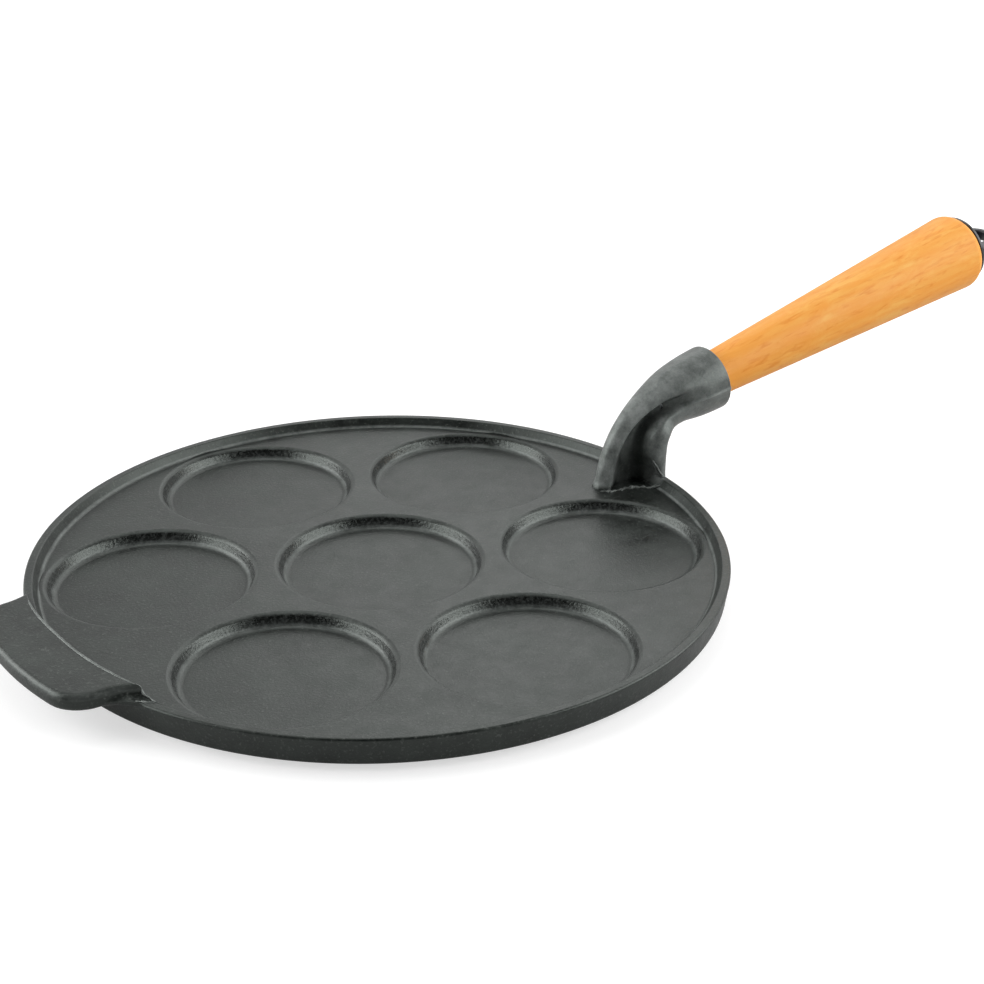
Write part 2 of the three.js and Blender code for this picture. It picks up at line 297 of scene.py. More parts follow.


# Seasoned cast iron. Level faces have two close greys in clouds a few millimetres wide, pale specks
# and three sizes of bump. The wells' steep walls, which the mesh's own "steep" value marks, are
# darker and smoother, with pale patches and a sand bump of their own. The mesh's second value lays a
# paler, cloudy grey over both, as painted light and painted highlight, and where it is held back, as
# painted shade. The roughness is level (1 - steep) + wall steep.
def castIronMaterial():
    material, tree, shader = newMaterial("castIron")
    place = objectPlace(tree)
    noises = ("grain", "mottle", "swell", "wallGrain", "skinAndLightNoise")
    grain, mottle, swell, wallGrain, skinAndLightNoise = (noiseOf(tree, place, *ironLook[name]) for name in noises)
    steep, skinAndPaintedLight = ownValue(tree, "steep"), ownValue(tree, "skinAndPaintedLight")
    onLevel = calc(tree, "SUBTRACT", 1, steep)

    mottleShare = ironLook["mottleShare"]
    clouds = plus(tree, times(tree, mottle, mottleShare), times(tree, swell, 1 - mottleShare))
    clouds = times(tree, between(tree, clouds, *ironLook["cloudRange"]), onLevel)
    colour = blendColour(tree, clouds, ironLook["dark"], ironLook["light"])
    patches = times(tree, between(tree, wallGrain, *ironLook["patchRange"]), ironLook["wallSkin"])
    skinAndLightShare = plus(tree, skinAndPaintedLight, times(tree, patches, steep))
    skinAndLightClouds = between(tree, skinAndLightNoise, *ironLook["skinAndLightRange"])
    skinAndLightColour = blendColour(tree, skinAndLightClouds, ironLook["skinAndLightDark"], ironLook["skinAndLightPale"])
    colour = blendColour(tree, skinAndLightShare, colour, skinAndLightColour)
    specks = times(tree, between(tree, grain, *ironLook["speckRange"]), onLevel)
    colour = blendColour(tree, times(tree, specks, ironLook["speckShare"]), colour, ironLook["speck"])
    tree.links.new(colour, shader.inputs["Base Color"])

    grainShare = ironLook["grainShare"]
    uneven = plus(tree, times(tree, grain, grainShare), times(tree, mottle, 1 - grainShare))
    level = between(tree, uneven, *ironLook["unevenRange"], *ironLook["roughness"])
    wall = times(tree, steep, ironLook["wallRoughness"])
    tree.links.new(plus(tree, times(tree, level, onLevel), wall), shader.inputs["Roughness"])

    normal = bumpOf(tree, swell, ironLook["swellHeight"])
    normal = bumpOf(tree, mottle, ironLook["mottleHeight"], normal)
    normal = bumpOf(tree, grain, ironLook["grainHeight"], normal)
    normal = bumpOf(tree, times(tree, wallGrain, steep), ironLook["wallGrainHeight"], normal)
    tree.links.new(normal, shader.inputs["Normal"])
    shader.inputs["Specular IOR Level"].default_value = ironLook["specular"]
    shader.inputs["Specular Tint"].default_value = (*ironLook["tint"], 1)
    return material


# The line of the handle, from the middle of the socket's mouth.
handleLine = {"rise": 9.65, "mouth": (144.9, 0.0, 38.2)}
rise = math.radians(handleLine["rise"])
alongHandle = np.array([math.cos(rise), 0, math.sin(rise)])
upHandle = np.array([-math.sin(rise), 0, math.cos(rise)])
mouth = np.array(handleLine["mouth"])


# Object coordinates turned so that X runs along the handle from the socket's mouth, then stretched.
def handlePlace(tree, stretch=(1, 1, 1)):
    turned = Matrix.Rotation(rise, 3, "Y") @ Vector(mouth * mm)
    line = objectPlace(tree, (0, rise, 0), tuple(-turned))
    stretched = addNode(tree, "ShaderNodeVectorMath", {0: line, 1: stretch}, operation="MULTIPLY")
    return stretched.outputs["Vector"]


# A noise is its scale per metre along and across the grip, its detail, its roughness and its bend.
beechLook = {
    "pale": (0.77, 0.400, 0.088),
    "deep": (0.74, 0.292, 0.040),
    "fleck": (0.62, 0.165, 0.006),
    "streaks": ((36, 130, 130), 5, 0.66, 1.0),
    "fibre": ((120, 2200, 2200), 3, 0.6, 0.0),
    "flecks": ((100, 620, 620), 3, 0.55, 0.6),
    "blotches": ((42, 85, 85), 3, 0.6, 0.8),
    "streakRange": (0.34, 0.66),
    "fibreRange": (0.45, 0.75),
    "fleckRange": (0.55, 0.70),
    "blotchRange": (0.46, 0.66),
    "heart": (0.034, 0.052),  # how far the tree's middle lies from the grip's, in Y and Z
    "heartSlope": 0.10,  # and how it slants in Y along the grip
    "ringsPerMetre": 330,
    "ringBend": 1.8,  # rings that the streaks shift by
    "lateWood": (0.35, 0.92, 1.0),  # where in a ring the late wood starts, is deepest, and ends
    "socketReach": 0.050,  # metres from the socket in which the wood is deeper
    # shares of the deep colour, laid on one after the other
    "deeper": {"socket": 0.75, "blotches": 0.45, "lateWood": 0.65, "fibre": 0.30},
    "fleckShare": 0.50,
    "roughRange": (0.3, 0.7),
    "roughness": (0.44, 0.58),
    "specular": 0.25,
    "fibreHeight": 0.00006,
    "streakHeight": 0.00025,
}


# Lacquered beech: growth rings by the distance from a slanting heart line beside the grip, long
# soft streaks along the grip, blotches, a fine fibre, and short dark flecks. It is deeper near the
# socket. The place in a ring is the fraction of distance rings + bend streaks.
def beechMaterial():
    material, tree, shader = newMaterial("beech")
    noises = {}
    for name in ("streaks", "fibre", "flecks", "blotches"):
        stretch, *rest = beechLook[name]
        noises[name] = noiseOf(tree, handlePlace(tree, stretch), 1, *rest)
    streaks, fibre = noises["streaks"], noises["fibre"]
    parts = addNode(tree, "ShaderNodeSeparateXYZ", {0: handlePlace(tree)}).outputs
    heartY, heartZ = beechLook["heart"]
    sideY = plus(tree, times(tree, parts["X"], beechLook["heartSlope"]), plus(tree, parts["Y"], heartY))
    sideZ = plus(tree, parts["Z"], heartZ)
    fromHeart = calc(tree, "SQRT", plus(tree, times(tree, sideY, sideY), times(tree, sideZ, sideZ)))
    rings = times(tree, fromHeart, beechLook["ringsPerMetre"])
    ring = calc(tree, "FRACT", plus(tree, rings, times(tree, streaks, beechLook["ringBend"])))
    lateStart, lateDeep, lateEnd = beechLook["lateWood"]
    lateRise = between(tree, ring, lateStart, lateDeep)
    lateFall = between(tree, ring, lateEnd, lateDeep)
    deeper = {
        "socket": between(tree, parts["X"], beechLook["socketReach"], 0.0),
        "blotches": between(tree, noises["blotches"], *beechLook["blotchRange"]),
        "lateWood": times(tree, lateRise, lateFall),
        "fibre": between(tree, fibre, *beechLook["fibreRange"]),
    }
    streakShare = between(tree, streaks, *beechLook["streakRange"])
    colour = blendColour(tree, streakShare, beechLook["pale"], beechLook["deep"])
    for name, share in beechLook["deeper"].items():
        colour = blendColour(tree, times(tree, deeper[name], share), colour, beechLook["deep"])
    flecks = between(tree, noises["flecks"], *beechLook["fleckRange"])
    colour = blendColour(tree, times(tree, flecks, beechLook["fleckShare"]), colour, beechLook["fleck"])
    tree.links.new(colour, shader.inputs["Base Color"])
    roughness = between(tree, fibre, *beechLook["roughRange"], *beechLook["roughness"])
    tree.links.new(roughness, shader.inputs["Roughness"])
    normal = bumpOf(tree, fibre, beechLook["fibreHeight"], bumpOf(tree, streaks, beechLook["streakHeight"]))
    tree.links.new(normal, shader.inputs["Normal"])
    shader.inputs["Specular IOR Level"].default_value = beechLook["specular"]
    return material


enamelLook = {
    "colour": (0.010, 0.011, 0.016), "peel": (900, 2, 0.5), "peelRange": (0.3, 0.7),
    "roughness": (0.26, 0.38), "peelHeight": 0.00005,
}


# Black enamel: a flat colour with a faint orange-peel bump that also varies its roughness.
def enamelMaterial():
    material, tree, shader = newMaterial("blackEnamel")
    peel = noiseOf(tree, objectPlace(tree), *enamelLook["peel"])
    roughness = between(tree, peel, *enamelLook["peelRange"], *enamelLook["roughness"])
    shader.inputs["Base Color"].default_value = (*enamelLook["colour"], 1)
    tree.links.new(roughness, shader.inputs["Roughness"])
    tree.links.new(bumpOf(tree, peel, enamelLook["peelHeight"]), shader.inputs["Normal"])
    return material


zincLook = {
    "bright": (0.62, 0.64, 0.66), "dull": (0.42, 0.44, 0.46), "clouds": (420, 4, 0.6),
    "colourRange": (0.35, 0.65), "roughRange": (0.3, 0.7), "roughness": (0.28, 0.42),
}


# Zinc plate: a metal whose grey and roughness follow one cloudy noise.
def zincMaterial():
    material, tree, shader = newMaterial("zincPlate")
    clouds = noiseOf(tree, objectPlace(tree), *zincLook["clouds"])
    dullShare = between(tree, clouds, *zincLook["colourRange"])
    roughness = between(tree, clouds, *zincLook["roughRange"], *zincLook["roughness"])
    colour = blendColour(tree, dullShare, zincLook["bright"], zincLook["dull"])
    tree.links.new(colour, shader.inputs["Base Color"])
    tree.links.new(roughness, shader.inputs["Roughness"])
    shader.inputs["Metallic"].default_value = 1
    return material


castIron = castIronMaterial()
beech = beechMaterial()
blackEnamel = enamelMaterial()
zincPlate = zincMaterial()
print("materials made")

# The plate, with its rim and deck.
plate = {
    "baseRadius": 106.0, "baseRound": 3.0,
    "footRadius": 113.6, "footHeight": 2.5, "footRound": 1.6,
    "rimRadius": 115.0, "rimHeight": 11.5, "rimRound": 0.8,
    "rimTopWidth": 3.0, "rimInnerRun": 2.0, "rimInnerRound": 0.6,
    "deckHeight": 8.2, "deckFillet": 1.3,
    "highlightHeight": 1.1,  # how high the painted highlight along the foot of the rim reaches above the deck
    "highlightStrength": 0.60,  # and how strong the painted highlight is
    "poleRadius": 1.0,
    "sides": 360,
}
deck = plate["deckHeight"]
rimInner = plate["rimRadius"] - plate["rimTopWidth"]
rimFoot = rimInner - plate["rimInnerRun"]


# The plate is turned from one profile, with a point on the rim's inner side where the painted highlight
# ends.
def platePiece():
    highlightEnd = rimInner - plate["rimInnerRun"] * (1 - plate["highlightHeight"] / (plate["rimHeight"] - deck))
    profile = roundedProfile([
        (plate["poleRadius"], 0), (plate["baseRadius"], 0, plate["baseRound"]),
        (plate["footRadius"], plate["footHeight"], plate["footRound"]),
        (plate["rimRadius"], plate["rimHeight"], plate["rimRound"]),
        (rimInner, plate["rimHeight"], plate["rimInnerRound"]),
        (highlightEnd, deck + plate["highlightHeight"]), (rimFoot, deck, plate["deckFillet"]),
        (plate["poleRadius"], deck),
    ])
    return closedMesh("plate", turnedRings(profile, plate["sides"]))


wells = {
    "ringRadius": 74.6, "around": 6, "turn": 2.2,
    "floorRadius": 31.5, "edgeRadius": 33.7, "depth": 4.15, "floorFillet": 2.6, "lipRound": 2.2,
    "footHighlight": 0.36, "lipPaintedLight": 0.12,  # a painted highlight on the fillet round each floor, and painted light on the rounded lip
    "offPattern": {3: (1.4, -1.1), 4: (0.9, -0.6)},  # wells that the pattern maker set out of the ring
    "lipLift": 0.006, "collar": 2.0, "overrun": 6.0, "poleRadius": 1.0,  # of the cutter
    "sides": 144,
}


# A well as the solid that it takes away, turned from one profile. Its lip flares out just above the deck.
def wellCutter(x, y):
    floor, lip = deck - wells["depth"], deck + wells["lipLift"]
    edge, collar, top = wells["edgeRadius"], wells["edgeRadius"] + wells["collar"], lip + wells["overrun"]
    profile = roundedProfile([
        (wells["poleRadius"], floor), (wells["floorRadius"], floor, wells["floorFillet"]),
        (edge, lip, wells["lipRound"]), (collar, lip), (collar, top), (wells["poleRadius"], top),
    ])
    return closedMesh("wellCutter", turnedRings(profile, wells["sides"], (x, y, 0)))


# One well in the middle, and the rest at turn + 360 (i + 1/2) / around degrees on the ring.
def wellCutters():
    angle = math.radians(wells["turn"]) + 2 * math.pi * (np.arange(wells["around"]) + 0.5) / wells["around"]
    middles = wells["ringRadius"] * np.stack([np.cos(angle), np.sin(angle)], -1)
    for index, shift in wells["offPattern"].items():
        middles[index] += shift
    return [wellCutter(x, y) for x, y in [(0.0, 0.0), *middles]]


tab = {
    "reach": 130.5, "halfWidth": 33.6, "turn": -0.6, "corner": 12.0,
    "top": 15.5, "thickness": 5.5, "edgeRound": 2.0, "underRound": 1.7,
    # how far each side's top edge and foot sweep out, mostly inside the rim
    "topSpread": 7.0, "spread": 34.0,
    "wallTurn": 60.0,  # degrees that the hollow side wall turns through
    "rootX": -102.0, "rootWidthShare": 0.8, "endRadius": 110.3,
    "rootHeight": 5.0, "rootHalfWidth": 20.0, "rootClimb": 12.0,  # underneath, it climbs at its sides
    "underPower": 1.5,
    "footDip": 1.4, "dipRun": (0.3, 1.5),  # the foot dips over the rim, from outside its edge to inside
    "wallInset": 0.6, "wallClearance": 0.5,  # how the underside meets the plate's wall
    "ridgeRadius": 111.7, "crestRound": 0.9,
    "ridgeSwing": 2.0,  # how far the ridge runs out over the rim at its far end
    "cutterDrop": 0.1, "cutterLift": 0.02, "cutterCollar": 3.0, "cutterOverrun": 6.0, "swingHeight": 1.0,
    "edgeHighlight": 0.20,  # a painted highlight on its rounded top edge
    "steps": {"arc": 14, "corner": 16, "side": 36, "round": 8, "wall": 9},
}


# Half of an outline of the tab, from the middle of its outer edge to its root: an arc round the
# plate's middle, a corner arc, and a side whose y grows by spread (1 - cos) as its distance from
# the plate's middle falls by sin.
def tabRun(inset, spread):
    reach, halfWidth, corner = tab["reach"], tab["halfWidth"], tab["corner"]
    cornerY = halfWidth - corner
    cornerX = -math.sqrt((reach - corner) ** 2 - cornerY**2)
    cornerAngle = math.atan2(cornerY, -cornerX)
    arc = np.linspace(0, cornerAngle, tab["steps"]["arc"], endpoint=False)
    turn = np.linspace(cornerAngle, math.pi / 2, tab["steps"]["corner"], endpoint=False)
    side = np.linspace(0, math.pi / 2, tab["steps"]["side"])
    sideY = halfWidth - inset + spread * (1 - np.cos(side))
    startRadius = math.hypot(cornerX, halfWidth - inset)
    sideRadius = startRadius + (tab["endRadius"] - startRadius) * np.sin(side)
    return np.vstack([
        np.stack([-(reach - inset) * np.cos(arc), (reach - inset) * np.sin(arc)], -1),
        np.stack([cornerX - (corner - inset) * np.cos(turn), cornerY + (corner - inset) * np.sin(turn)], -1),
        np.stack([-np.sqrt(sideRadius**2 - sideY**2), sideY], -1),
    ])


# The tab, as sections from its root out to its edge and back underneath. Each section rounds over
# the top edge, drops down a wall that is hollow at the sides, and returns under the tab. Between two
# outlines a section moves by a share in plan and has a height of its own: sin and 1 - cos on the
# rounds, and share^underPower on the underside.
def tabPiece():
    top, edgeRound, underRound = tab["top"], tab["edgeRound"], tab["underRound"]
    edge, shoulder = tabRun(edgeRound, tab["topSpread"]), tabRun(0, tab["topSpread"])
    foot, bottom = tabRun(0, tab["spread"]), tabRun(underRound, tab["spread"])
    inner = np.stack([np.full(len(edge), tab["rootX"]), edge[:, 1] * tab["rootWidthShare"]], -1)
    rim, (outside, inside) = plate["rimRadius"], tab["dipRun"]
    dip = tab["footDip"] * eased(-np.hypot(*foot.T), -rim - outside, -rim + inside)
    footHeight = top - tab["thickness"] + underRound - dip
    under = footHeight - underRound
    climb = eased(bottom[:, 1], tab["rootHalfWidth"], tab["halfWidth"] + tab["rootClimb"])
    root = np.minimum(tab["rootHeight"] + (plate["rimHeight"] - tab["rootHeight"]) * climb, under)
    wallX = -np.sqrt(np.maximum((rim - tab["wallInset"]) ** 2 - bottom[:, 1] ** 2, 0))
    wall = np.stack([np.maximum(wallX, bottom[:, 0] + tab["wallClearance"]), bottom[:, 1]], -1)
    high, wallTurn = top - edgeRound, math.radians(tab["wallTurn"])
    quarter = np.linspace(0, math.pi / 2, tab["steps"]["round"])
    section = []

    def put(first, second, share, height):
        plan = first + (second - first) * share
        section.append(np.column_stack([plan, np.broadcast_to(height, len(plan))]))

    put(inner, inner, 0, top)
    for angle in quarter:
        put(edge, shoulder, math.sin(angle), top - edgeRound * (1 - math.cos(angle)))
    for angle in np.linspace(0, wallTurn, tab["steps"]["wall"])[1:]:
        out = (1 - math.cos(angle)) / (1 - math.cos(wallTurn))
        put(shoulder, foot, out, high + (footHeight - high) * math.sin(angle) / math.sin(wallTurn))
    for angle in quarter[1:]:
        put(foot, bottom, 1 - math.cos(angle), under + underRound * (1 - math.sin(angle)))
    for share in np.linspace(0, 1, tab["steps"]["wall"])[1:]:
        put(bottom, wall, share, under + (root - under) * share ** tab["underPower"])
    put(inner, inner, 0, root)
    half = np.stack(section, 1)
    rings = np.vstack([half[:0:-1] * np.array([1, -1, 1]), half])
    turn = math.radians(tab["turn"])
    x, y = rings[..., 0].copy(), rings[..., 1].copy()
    rings[..., 0] = x * math.cos(turn) - y * math.sin(turn)
    rings[..., 1] = x * math.sin(turn) + y * math.cos(turn)
    return closedMesh("tab", rings)


# How far the ridge runs out at a sideways place y, as a smooth step from the middle to the far side.
def ridgeShift(y):
    return tab["ridgeSwing"] * eased(y, 0, tab["halfWidth"])


# What the tray takes off the tab: the inside of the rim carried up, with a rounded top edge. Above
# the rim it is pushed out by the ridge's shift.
def ridgeCutter():
    floor, lip, ridge = deck - tab["cutterDrop"], tab["top"] + tab["cutterLift"], tab["ridgeRadius"]
    collar, top, pole = ridge + tab["cutterCollar"], lip + tab["cutterOverrun"], plate["poleRadius"]
    profile = roundedProfile([
        (pole, floor), (rimFoot, floor), (ridge, plate["rimHeight"]),
        (ridge, lip, tab["crestRound"]), (collar, lip), (collar, top), (pole, top),
    ])
    rings = turnedRings(profile, plate["sides"])
    aboveRim = eased(rings[..., 2], plate["rimHeight"] - tab["swingHeight"], plate["rimHeight"])
    rings[..., 0] -= ridgeShift(rings[..., 1]) * aboveRim
    return closedMesh("ridgeCutter", rings)


# The neck, from a rib and a flange on the deck up to the round socket. Shares run from its foot to
# the socket's mouth, and depths from -1 at the flange's face to 1 at the rib's.
neck = {
    "footInnerX": 92.3, "footOuterX": 116.8, "footHeight": 4.0,
    "innerPull": 11.7, "innerSocketPull": 49.0, "outerPull": 34.0, "outerSocketPull": 33.0,
    "innerLean": 4.0, "outerLean": 1.0, "innerPace": 0.6,
    "ribHalfWidth": 4.6, "flangeHalfWidth": 12.0, "flangePower": 6.0, "ribPower": 2.3,
    "rounding": (0.36, 0.80),  # shares between which the section turns into the socket's circle
    "mouthRadius": 12.0, "mouthRound": 0.8, "mouthSteps": 6,
    "recessShare": 0.84, "recessPlace": 0.16, "recessSpan": 0.44,  # the hollow in each side
    "recessFade": (0.42, 0.90), "recessNarrow": 0.42, "narrowing": (0.12, 0.60),
    "lowPlace": -0.08, "lowSpan": 0.10, "lowStart": 0.20, "lowEnd": 0.08,  # further out near the deck
    "ribFlare": 1.2, "flangeFlare": 1.6, "flareHeight": 1.7,  # the fillet round the neck's foot
    "flareBlend": (-0.6, 0.2), "flareOutside": 1.0,
    "outsideFade": 0.8, "hollowFade": 0.9,  # how much less of it there is outside the rim, and in the hollow
    "seamHeight": 0.45, "seamPlace": -0.05, "seamSpan": 0.045, "seamFade": (0.60, 0.72),  # the parting line
    # painted light on the neck: how pale the flange and the socket are, the rib's fuller share, and its rise
    # from the deck
    "flangePaintedLight": 0.70, "socketPaintedLight": 0.60, "toSocket": (0.45, 0.75),
    "ribPaintedLight": (0.1, 0.7), "ribPaintedLightFade": (0.5, 0.8), "paintedLightRise": (0.3, 1.6),
    "hollowShade": 1.25, "deepestShade": 0.72,  # painted shade in the hollow: how much of the pale grey it takes away, and the most it takes
    "stations": 150, "around": 144,
}


# The middle line of the neck, and half of its depth, between two curved edges in the handle's plane.
def neckSpine():
    share = np.linspace(0, 1, neck["stations"])

    def edgeLine(footX, lean, pull, socketPull, side, pace):
        foot = np.array([footX, 0, neck["footHeight"]])
        ahead = np.array([math.sin(math.radians(lean)), 0, math.cos(math.radians(lean))])
        end = mouth + upHandle * side * neck["mouthRadius"]
        return bezier(foot, foot + ahead * pull, end - alongHandle * socketPull, end, share**pace)

    inner = [neck[name] for name in ("footInnerX", "innerLean", "innerPull", "innerSocketPull")]
    outer = [neck[name] for name in ("footOuterX", "outerLean", "outerPull", "outerSocketPull")]
    rib, flange = edgeLine(*inner, 1, neck["innerPace"]), edgeLine(*outer, -1, 1)
    return share, (rib + flange) / 2, (rib - flange) / 2


# The hollow in each side: exp(-((depth - place) / span)^4). It reaches further out near the deck,
# narrows up the neck and fades into the socket.
def hollowDip(share, depth):
    low = eased(-share, -neck["lowStart"], -neck["lowEnd"])
    span = neck["recessSpan"] + neck["lowSpan"] * low
    span = span * (1 - neck["recessNarrow"] * eased(share, *neck["narrowing"]))
    dip = np.exp(-(((depth - neck["recessPlace"] - neck["lowPlace"] * low) / span) ** 4))
    return dip * (1 - eased(share, *neck["recessFade"]))


# The neck's sections. A section is an oval that is squarer towards the flange, |v|^p + |w|^p = 1,
# pinched at its sides by the hollow's dip. Near the deck it spreads by flare exp(-height /
# flareHeight), and the parting line adds a ridge seamHeight exp(-((v - place) / span)^2).
def neckRings():
    share, middle, halfDepth = neckSpine()
    rounding = eased(share, *neck["rounding"])[:, None]
    angle = np.linspace(0, 2 * math.pi, neck["around"], endpoint=False)[None]
    depth = np.cos(angle)
    footPower = np.where(depth < 0, neck["flangePower"], neck["ribPower"])
    power = footPower + (2 - footPower) * rounding
    oval = np.clip(1 - np.abs(depth) ** power, 0, 1) ** (1 / power)
    towardsRib = neck["ribHalfWidth"] - neck["flangeHalfWidth"]
    footWidth = neck["flangeHalfWidth"] + towardsRib * eased(depth, -1, 1)
    size = np.linalg.norm(halfDepth, axis=1)[:, None]
    width = footWidth + (size - footWidth) * rounding
    dip = hollowDip(share[:, None], depth)
    seam = neck["seamHeight"] * np.exp(-(((depth - neck["seamPlace"]) / neck["seamSpan"]) ** 2))
    seam = seam * eased(share, *neck["seamFade"])[:, None]
    width = width * oval * (1 - neck["recessShare"] * dip) + seam
    rings = middle[:, None] + halfDepth[:, None] * depth[..., None]
    ribExtra = neck["ribFlare"] - neck["flangeFlare"]
    flare = neck["flangeFlare"] + ribExtra * eased(depth, *neck["flareBlend"])
    flare = flare * np.exp(-np.maximum(rings[..., 2] - deck, 0) / neck["flareHeight"])
    outside = eased(rings[..., 0], plate["footRadius"], plate["rimRadius"] + neck["flareOutside"])
    flare = flare * (1 - neck["outsideFade"] * outside)
    rings[..., 0] -= flare * depth
    rings[..., 1] = -np.sign(np.sin(angle)) * (width + flare * oval * (1 - neck["hollowFade"] * dip))
    return rings


# The neck ends in a quarter round at the socket's mouth: inward by 1 - cos and along by sin.
def neckPiece():
    rings = neckRings()
    lip = np.linspace(0, math.pi / 2, neck["mouthSteps"])[1:, None, None]
    last = rings[-1]
    inward = mouth - last
    inward = inward / np.linalg.norm(inward, axis=1, keepdims=True)
    rounded = last + neck["mouthRound"] * ((1 - np.cos(lip)) * inward + (np.sin(lip) - 1) * alongHandle)
    rings[-1] = last - neck["mouthRound"] * alongHandle
    return closedMesh("neck", np.vstack([rings, rounded]))


socket = {
    "recessRadius": 8.6, "recessDepth": 12.8, "holeRadius": 4.32, "holeDepth": 27.1,
    "edgeLift": 0.02, "edgeRound": 0.5, "collar": 1.0, "overrun": 6.0, "poleRadius": 0.5,
    "sides": 96,
}


# The recess for the grip's spigot and the rod's hole behind it, turned about the handle's line.
def socketCutter():
    recess, hole, pole = socket["recessRadius"], socket["holeRadius"], socket["poleRadius"]
    collar, lift = recess + socket["collar"], socket["edgeLift"]
    profile = roundedProfile([
        (pole, -socket["holeDepth"]), (hole, -socket["holeDepth"]),
        (hole, -socket["recessDepth"]), (recess, -socket["recessDepth"]),
        (recess, lift, socket["edgeRound"]), (collar, lift),
        (collar, socket["overrun"]), (pole, socket["overrun"]),
    ])
    return closedMesh("socketCutter", turnedRings(profile, socket["sides"], mouth, alongHandle))


# How much paler grey the neck gets as painted light: all of it on the rib, some on the flange and the
# socket, and little in the hollow, which is painted shade, and it fades in above the deck. Each point
# is read at the nearest section, at its depth from the flange to the rib.
def neckPaintedLight(places):
    share, middle, halfDepth = neckSpine()
    size = np.linalg.norm(halfDepth, axis=1)
    reach = places[:, None] * (1, 0, 1) - middle
    depth = np.einsum("ijk,jk->ij", reach, halfDepth / size[:, None])
    nearest = (np.einsum("ijk,ijk->ij", reach, reach) - depth**2).argmin(axis=1)
    share, depth = share[nearest], depth[np.arange(len(places)), nearest] / size[nearest]
    plain = neck["flangePaintedLight"] + (neck["socketPaintedLight"] - neck["flangePaintedLight"]) * eased(share, *neck["toSocket"])
    onRib = eased(depth, *neck["ribPaintedLight"]) * (1 - eased(share, *neck["ribPaintedLightFade"]))
    shade = np.clip(neck["hollowShade"] * hollowDip(share, depth), 0, neck["deepestShade"])
    return (plain + (1 - plain) * onRib) * eased(places[:, 2] - deck, *neck["paintedLightRise"]) * (1 - shade)


# Where the casting's surface is marked. A band of four heights is where it starts, is full, begins
# to fade and ends.
marks = {
    "steepness": (0.15, 0.5),  # 1 - |z| of a normal, from level to steep
    "wellReach": 109.5,  # the wells lie nearer to the plate's middle
    "rimReach": (109.0, 112.2),  # and the rim's inner side lies between these
    "belowDeck": 0.01, "aboveBase": 2.6,
    "wellFoot": (0.05, 0.4, 0.9, 1.6),  # from a well's floor
    "wellLip": (-0.9, -0.3, -0.06, -0.01),  # from the deck
    "highlightRise": (0.03, 0.3), "highlightFade": 0.6,  # the painted highlight's rise from the deck, and its fade as a share of its height
    "tabEdge": (-2.3, -1.4, -0.5, -0.05),  # from the tab's top
    "tabMargin": 12.0, "neckX": 88.0, "neckLift": 0.2, "neckMargin": 0.1,
}


# Gives each vertex two values for the material. "steep" is 0 on level faces and 1 on a well's upright
# wall. The second is how much paler grey the surface gets: a painted highlight on the fillet round each
# well's floor, along the foot of the rim and on the tab's top edge, painted light on each well's rounded
# lip and on the neck, and painted shade where the neck's hollow takes it away.
def markSurface(piece):
    count = len(piece.data.vertices)
    normals, places = np.zeros(count * 3, np.float32), np.zeros(count * 3, np.float32)
    piece.data.vertices.foreach_get("normal", normals)
    piece.data.vertices.foreach_get("co", places)
    places = places.reshape(-1, 3) / mm
    x, aside, height = places[:, 0], np.abs(places[:, 1]), places[:, 2]
    fromMiddle = np.hypot(x, places[:, 1])
    inWell = (fromMiddle < marks["wellReach"]) & (height < deck - marks["belowDeck"])
    rimStart, rimEnd = marks["rimReach"]
    onRim = (fromMiddle >= rimStart) & (fromMiddle < rimEnd) & (height < plate["rimHeight"])
    onTab = (x < tab["rootX"]) & (aside < tab["halfWidth"] + marks["tabMargin"])
    neckSide = neck["flangeHalfWidth"] + neck["flangeFlare"] + marks["neckMargin"]
    onNeck = (x > marks["neckX"]) & (height > deck + marks["neckLift"]) & (aside < neckSide)
    line = plate["highlightHeight"]
    steep = eased(1 - np.abs(normals.reshape(-1, 3)[:, 2]), *marks["steepness"])
    steep = steep * (inWell & (height > marks["aboveBase"]))
    # Painted highlights and painted light on the wells, the rim's foot and the tab, then painted light and
    # shade on the neck.
    skinAndPaintedLight = wells["footHighlight"] * band(height - deck + wells["depth"], *marks["wellFoot"]) * inWell
    skinAndPaintedLight += wells["lipPaintedLight"] * band(height - deck, *marks["wellLip"]) * inWell
    highlightBand = band(height - deck, *marks["highlightRise"], marks["highlightFade"] * line, line)
    skinAndPaintedLight += plate["highlightStrength"] * highlightBand * onRim
    skinAndPaintedLight += tab["edgeHighlight"] * band(height - tab["top"], *marks["tabEdge"]) * onTab
    skinAndPaintedLight[onNeck] = neckPaintedLight(places[onNeck])
    for name, values in (("steep", steep), ("skinAndPaintedLight", skinAndPaintedLight)):
        attribute = piece.data.attributes.new(name, "FLOAT", "POINT")
        attribute.data.foreach_set("value", values.astype(np.float32))


def castingPiece():
    trimmedTab = combined("trimmedTab", tabPiece(), [("DIFFERENCE", ridgeCutter())])
    steps = [("UNION", trimmedTab)]
    steps += [("DIFFERENCE", cutter) for cutter in wellCutters()]
    steps += [("UNION", neckPiece()), ("DIFFERENCE", socketCutter())]
    casting = combined("panCasting", platePiece(), steps)
    markSurface(casting)
    smoothed(casting)
    casting.data.materials.append(castIron)
    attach(casting, "pan")
    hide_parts("pan_casting")
    return casting


casting = castingPiece()
print("casting made:", len(casting.data.polygons), "faces")
